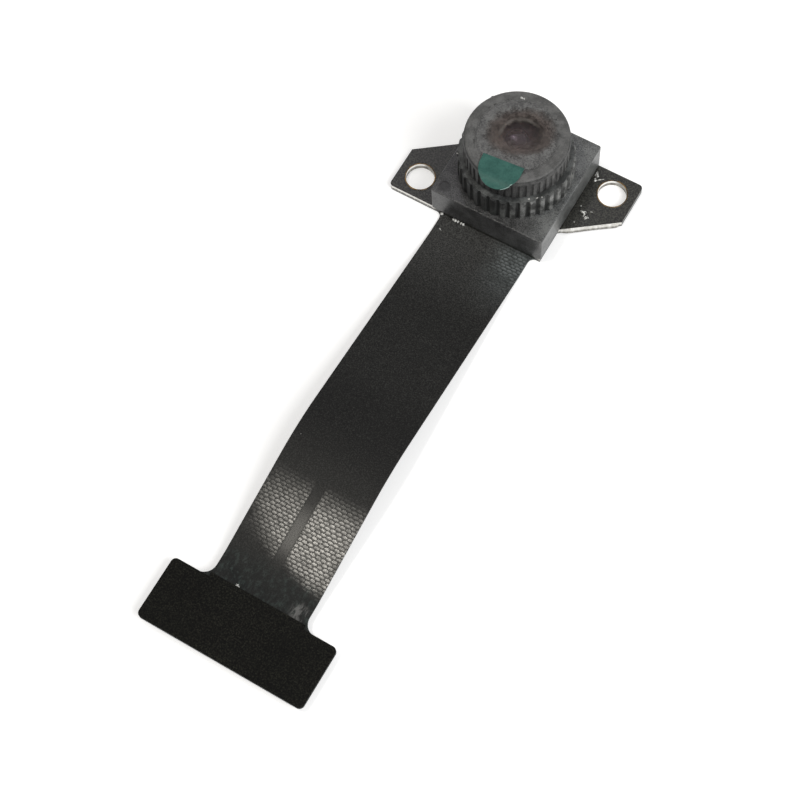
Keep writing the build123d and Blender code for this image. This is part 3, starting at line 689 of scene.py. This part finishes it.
def dress_glasses():
    """Lenses, filter and cover glass, and the film with its tab."""
    pink = (1.0, 0.84, 0.88)
    dress("front_lens", front_glass_look())
    dress("second_lens", glass_look("second_glass", (186, 168, 166), 0.05, pink, 0.16))
    dress("third_lens", glass_look("third_glass", (160, 140, 160)))
    dress("rear_lens", glass_look("rear_glass", (196, 190, 196)))
    dress("infrared_filter", glass_look("infrared_glass", (150, 196, 196)))
    dress("sensor_glass", glass_look("cover_glass", (226, 230, 228)))
    dress("protective_film", film_look())
    dress("pull_tab", tab_look())


# Added detail: dust, pad solder, painted glints on glue beads and the tab's edge, one ear's sheared lip.
def piece(name, made, material):
    """Turns this mesh, in millimetres, into a piece that rides on the part."""
    bmesh.ops.scale(made, vec=(MM, MM, MM), verts=made.verts)
    for face in made.faces:
        face.smooth = True
    data = bpy.data.meshes.new(name)
    made.to_mesh(data)
    made.free()
    data.materials.append(material)
    item = bpy.data.objects.new(name, data)
    bpy.context.scene.collection.objects.link(item)
    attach(item, "root")


def blob(made, chance, place, size, turn=0.0, rough=0.25):
    """One lumpy drop: centre in millimetres, half sizes, turned about Z."""
    fresh = bmesh.ops.create_icosphere(made, subdivisions=3, radius=1.0)["verts"]
    waves = [(chance.uniform(1, 4), Vector(chance.uniform(-1, 1) for _ in range(3))) for _ in range(5)]
    spin = Matrix.Rotation(turn, 3, "Z")
    for vert in fresh:
        swell = 1.0
        for beat, heading in waves:
            swell += rough / 3 * math.sin(beat * heading.dot(vert.co) * 2 + beat)
        shaped = Vector(c * swell * s for c, s in zip(vert.co, size))
        vert.co = spin @ shaped + Vector(place)


def loft(made, outlines):
    """Skins a row of closed outlines, each a list of points, and caps both ends."""
    rings = [[made.verts.new(point) for point in outline] for outline in outlines]
    for one, two in zip(rings, rings[1:]):
        for index in range(len(one)):
            after = (index + 1) % len(one)
            made.faces.new((one[index], one[after], two[after], two[index]))
    made.faces.new(reversed(rings[0]))
    made.faces.new(rings[-1])
    bmesh.ops.recalc_face_normals(made, faces=made.faces)


def plain_grain(name, scale, dark, light, least, depth):
    """A grained material for one of the small added pieces."""
    look = Look(name)
    grain = look.noise(scale, 3.0, 0.6)
    look.set(Base_Color=look.blend(grain, rgb(*dark), rgb(*light)), Normal=look.bump(grain, depth))
    look.uneven(grain, 0.2, least)
    return look.material


# Each speck: centre x, y and z, and half its width.
DUST = (
    (2.42, -2.69, 4.95, 0.06),
    (2.85, -2.38, 4.95, 0.05),
    (3.10, -2.16, 4.95, 0.05),
    (-3.41, -1.97, 4.95, 0.05),
    (-1.12, 2.70, 7.03, 0.07),
    (-0.96, 2.74, 7.03, 0.05),
    (-2.99, -5.29, 0.14, 0.045),
    (-2.86, -5.36, 0.13, 0.025),
    (-1.32, -33.79, 0.84, 0.09),
    (-1.17, -33.84, 0.83, 0.06),
    (-2.76, -23.5, 2.32, 0.02),
)


def dust():
    """Pale specks on the ring, the face, the tail and its foot, half sunk in what carries them."""
    chance = random.Random(7)
    made = bmesh.new()
    for x, y, z, size in DUST:
        stretch = chance.uniform(0.7, 1.5)
        half = (size * stretch, size / stretch, size * 0.4)
        blob(made, chance, (x, y, z), half, chance.uniform(0, math.pi), 0.5)
    material = plain_grain("dust", 20.0, (150, 150, 148), (214, 214, 210), 0.6, 0.01)
    piece("dust_specks", made, material)


# Each drop: centre x and y, half sizes across and along, and its turn in radians.
SOLDER = (
    (4.47, 3.45, 0.10, 0.24, 0.5),
    (4.62, 2.99, 0.12, 0.10, 0.2),
    (4.86, 3.14, 0.20, 0.03, 0.75),
    (5.07, 0.40, 0.13, 0.13, 0.0),
    (5.16, 0.24, 0.07, 0.10, 0.9),
    (5.41, 0.12, 0.12, 0.12, 0.4),
    (5.38, -0.03, 0.06, 0.08, 0.0),
    (4.84, -0.58, 0.05, 0.04, 0.3),
    (5.53, 0.66, 0.05, 0.03, 0.6),
    (4.67, 0.74, 0.03, 0.05, 0.0),
)
SOLDER_Z = 0.53
SOLDER_HALF_HEIGHT = 0.09


def solder():
    """Uneven tin on the test pads, and its splashes beside them."""
    chance = random.Random(11)
    made = bmesh.new()
    for x, y, wide, tall, turn in SOLDER:
        blob(made, chance, (x, y, SOLDER_Z), (wide, tall, SOLDER_HALF_HEIGHT), turn, 0.8)
    look = Look("pad_solder")
    grain = look.noise(7.0, 4.0, 0.7)
    colour = look.blend(look.span(grain, 0.4, 0.56), rgb(96, 96, 92), rgb(240, 240, 236))
    look.set(Base_Color=colour, Normal=look.bump(grain, 0.03, 0.6), Metallic=0.25)
    look.uneven(grain, 0.25, 0.2)
    piece("pad_solder", made, look.material)


# Each bead: centre x along the holder's front edge, and half its width.
GLUE_BEADS = ((-3.45, 0.10), (-2.52, 0.07), (-2.36, 0.10), (-2.16, 0.07), (-1.92, 0.06), (-1.76, 0.10))
GLUE_BEAD_HALF = 0.09
GLUE_BEAD_Z = 0.2


def glue_beads():
    """Beads of glue below the holder's front edge, drawn near-white as painted glints."""
    chance = random.Random(5)
    made = bmesh.new()
    low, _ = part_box("lens_holder")
    front = low.y / MM
    for x, half in GLUE_BEADS:
        size = (half, GLUE_BEAD_HALF, GLUE_BEAD_HALF)
        blob(made, chance, (x, front + 0.01, GLUE_BEAD_Z), size, 0.0, 0.4)
    # Painted glints: the beads are coloured near-white.
    material = plain_grain("glue_bead", 9.0, (190, 190, 186), (240, 240, 236), 0.2, 0.01)
    piece("glue_beads", made, material)


# The lip runs between two places in the plan; its section is points of distance out and height.
LIP_FROM = (4.28, -1.55)
LIP_TO = (7.66, 0.95)
LIP_SHAPE = ((0.0, 0.5), (0.05, 0.47), (0.09, 0.36), (0.13, 0.22), (0.17, 0.13), (0.0, 0.125))
LIP_SUNK = 0.02
LIP_STEPS = 60


def lip_outlines():
    """Sections along the lip, uneven in width and tapering at both ends."""
    chance = random.Random(3)
    start = Vector(LIP_FROM)
    run = Vector(LIP_TO) - start
    outward = Vector((run.y, -run.x)).normalized()
    outlines = []
    for step in range(LIP_STEPS + 1):
        share = step / LIP_STEPS
        foot = start + run * share
        swell = 1.0 + 0.06 * math.sin(9 * share) + chance.uniform(-0.05, 0.05)
        swell *= min(1.0, (1 - share) * 14, 0.4 + share * 6)
        outline = []
        for out, z in LIP_SHAPE:
            place = foot + outward * (out * swell - LIP_SUNK)
            outline.append((place.x, place.y, z))
        outlines.append(outline)
    return outlines


def sheared_lip():
    """The torn metal lip that stands out along the near side of the right ear."""
    made = bmesh.new()
    loft(made, lip_outlines())
    look = Look("sheared_metal")
    _, _, z = look.axes()
    drawn = look.noise(5.0, 3.0, 0.6, look.stretched(1.0, 1.0, 0.15))
    streak = look.span(drawn, 0.35, 0.7)
    low = look.blend(streak, rgb(128, 126, 120), rgb(190, 188, 182))
    high = look.blend(streak, rgb(214, 212, 206), rgb(246, 245, 242))
    look.set(Base_Color=look.blend(look.span(z, 0.24, 0.34), low, high), Metallic=0.3)
    look.set(Normal=look.bump(drawn, 0.01, 0.5))
    look.uneven(drawn, 0.2, 0.3)
    piece("sheared_ear_lip", made, look.material)


# The tab's round end: an arc about a centre this far from the lens axis, turned with the film.
TAB_ARC_REACH = 2.65
TAB_ARC_RADIUS = 1.44
TAB_TURN = math.radians(5)
TAB_ARC_FROM = 22
TAB_ARC_SWEEP = 34
TAB_EDGE_STEPS = 24
TAB_EDGE_SIDES = 8
TAB_EDGE_HALF = 0.035
TAB_EDGE_SUNK = 0.02

# The tab's upper side: level on the face, bent over its rim, then straight down the slope.
TAB_TOP = 7.14
TAB_BEND_TOP = 7.12
TAB_BEND_FROM = 3.24
TAB_BEND_TO = 3.6
TAB_SLOPE_START = 3.4
TAB_SLOPE = 0.55


def tab_height(reach):
    """Height of the tab's upper side at this distance from the lens axis, in millimetres."""
    if reach < TAB_BEND_FROM:
        return TAB_TOP
    if reach > TAB_BEND_TO:
        return TAB_TOP - TAB_SLOPE * (reach - TAB_SLOPE_START)
    return TAB_BEND_TOP


def tab_edge_outlines():
    """Round sections along the tab's arc, thinning out at both ends."""
    outlines = []
    for step in range(TAB_EDGE_STEPS + 1):
        lean = math.radians(TAB_ARC_FROM + TAB_ARC_SWEEP * step / TAB_EDGE_STEPS)
        across = TAB_ARC_RADIUS * math.sin(lean)
        ahead = TAB_ARC_REACH + TAB_ARC_RADIUS * math.cos(lean)
        x = across * math.cos(TAB_TURN) + ahead * math.sin(TAB_TURN)
        y = across * math.sin(TAB_TURN) - ahead * math.cos(TAB_TURN)
        z = tab_height(ahead) - TAB_EDGE_SUNK
        thick = TAB_EDGE_HALF * math.sin(math.pi * (step + 0.5) / (TAB_EDGE_STEPS + 1)) ** 0.5
        outline = []
        for turn in range(TAB_EDGE_SIDES):
            angle = math.tau * turn / TAB_EDGE_SIDES
            out = thick * math.cos(angle)
            rise = thick * math.sin(angle)
            outline.append((x + out * math.sin(lean), y - out * math.cos(lean), z + rise))
        outlines.append(outline)
    return outlines


def tab_edge():
    """A thin pale tube along the tab's lower right edge, a painted highlight where it catches the light.
    """
    made = bmesh.new()
    loft(made, tab_edge_outlines())
    # Painted highlight: the tube is drawn pale green-white.
    material = plain_grain("tab_edge_highlight", 9.0, (120, 156, 148), (176, 204, 196), 0.2, 0.005)
    piece("tab_edge_highlight", made, material)


def soften_edges():
    """Moulded and cut edges get a small round, as they catch the light in the photograph."""
    rounds = {"lens_holder": 0.05, "end_stiffener": 0.03, "lock_ring": 0.03, "mounting_board": 0.015}
    for name, width in rounds.items():
        bevel = nodes[name].modifiers.new("soft_edge", "BEVEL")
        bevel.width = width * MM
        bevel.segments = 2
        bevel.limit_method = "ANGLE"
        bevel.angle_limit = math.radians(50)
        bevel.use_clamp_overlap = True


# Camera, from the fit of the photograph: its place in metres, and its right and up directions.
CAMERA_PLACE = (0.02896, -0.05504, 0.11043)
CAMERA_RIGHT = (0.8615, 0.5057, -0.0463)
CAMERA_UP = (-0.4512, 0.8041, 0.3871)


def place_camera():
    """The camera of the photograph, with its fitted directions made exactly square."""
    data = bpy.data.cameras.new("photo_camera")
    data.lens = 81.8
    data.sensor_width = 36.0
    data.clip_start = 0.01
    data.clip_end = 10.0
    camera = bpy.data.objects.new("photo_camera", data)
    bpy.context.scene.collection.objects.link(camera)
    up = Vector(CAMERA_UP)
    back = Vector(CAMERA_RIGHT).cross(up).normalized()
    right = up.cross(back).normalized()
    up = back.cross(right)
    turn = Matrix((right, up, back)).transposed()
    camera.matrix_world = Matrix.Translation(CAMERA_PLACE) @ turn.to_4x4()
    bpy.context.scene.camera = camera


# Light: a pale surround, two softboxes, and two small lamps that the tail and the lens mirror.
def softbox(name, place, width, height, radiance, tint=(1.0, 1.0, 1.0), aim=(0, -10, 2)):
    """A lamp of this size and brightness, in millimetres, facing the point aim."""
    data = bpy.data.lights.new(name, "AREA")
    data.shape = "RECTANGLE"
    data.size = width * MM
    data.size_y = height * MM
    data.color = tint
    data.energy = radiance * math.pi * width * height * MM * MM
    lamp = bpy.data.objects.new(name, data)
    bpy.context.scene.collection.objects.link(lamp)
    lamp.location = Vector(place) * MM
    lamp.rotation_mode = "QUATERNION"
    toward = (Vector(place) - Vector(aim)).normalized()
    lamp.rotation_quaternion = toward.to_track_quat("Z", "Y")


def light_scene():
    """A broad key, a faint sheen, a warm gleam for the tail and a cool glint for the lens."""
    softbox("key", (290, -60, 320), 210, 210, 7.5)
    softbox("sheen", (-70, 230, 430), 150, 150, 0.5)
    softbox("gleam", (-99, -86, 430), 42, 24, 120.0, (1.0, 0.95, 0.86))
    softbox("glint", (-152, 200, 430), 15, 15, 66.0, (0.93, 0.87, 1.0))


SURROUND_LIGHT = 0.44
SURROUND_SEEN = 1.0
FLOOR_RADIUS = 1.5
FLOOR_GLOW = 0.37


def surround():
    """A pale world that is plain white to the eye and softer as a light."""
    world = bpy.data.worlds.new("surround")
    bpy.context.scene.world = world
    world.use_nodes = True
    tree = world.node_tree
    background = tree.nodes["Background"]
    background.inputs["Color"].default_value = (1.0, 1.0, 1.0, 1.0)
    path = tree.nodes.new("ShaderNodeLightPath")
    level = tree.nodes.new("ShaderNodeMapRange")
    tree.links.new(path.outputs["Is Camera Ray"], level.inputs[0])
    level.inputs[3].default_value = SURROUND_LIGHT
    level.inputs[4].default_value = SURROUND_SEEN
    tree.links.new(level.outputs[0], background.inputs["Strength"])


def floor():
    """A pale matt floor that keeps the object's soft shadow and looks white elsewhere."""
    data = bpy.data.meshes.new("floor")
    made = bmesh.new()
    bmesh.ops.create_circle(made, cap_ends=True, segments=96, radius=FLOOR_RADIUS)
    made.to_mesh(data)
    made.free()
    item = bpy.data.objects.new("floor", data)
    bpy.context.scene.collection.objects.link(item)
    look = Look("floor")
    cloud = look.noise(0.02, 2.0, 0.5)
    colour = look.blend(cloud, (0.80, 0.80, 0.80, 1.0), (0.82, 0.82, 0.82, 1.0))
    look.set(Base_Color=colour, Roughness=0.9, Specular_IOR_Level=0.1)
    path = look.node("ShaderNodeLightPath")
    seen = look.math("MAXIMUM", path.outputs["Is Camera Ray"], path.outputs["Is Glossy Ray"])
    seen = look.math("MAXIMUM", seen, path.outputs["Is Transmission Ray"])
    look.set(Emission_Color=(1.0, 1.0, 1.0, 1.0))
    look.set(Emission_Strength=look.math("MULTIPLY", seen, FLOOR_GLOW))
    data.materials.append(look.material)


bpy.context.scene.view_settings.view_transform = "Standard"
dress_plastics()
dress_metals()
dress_glasses()
dust()
solder()
glue_beads()
sheared_lip()
tab_edge()
soften_edges()
place_camera()
light_scene()
surround()
floor()
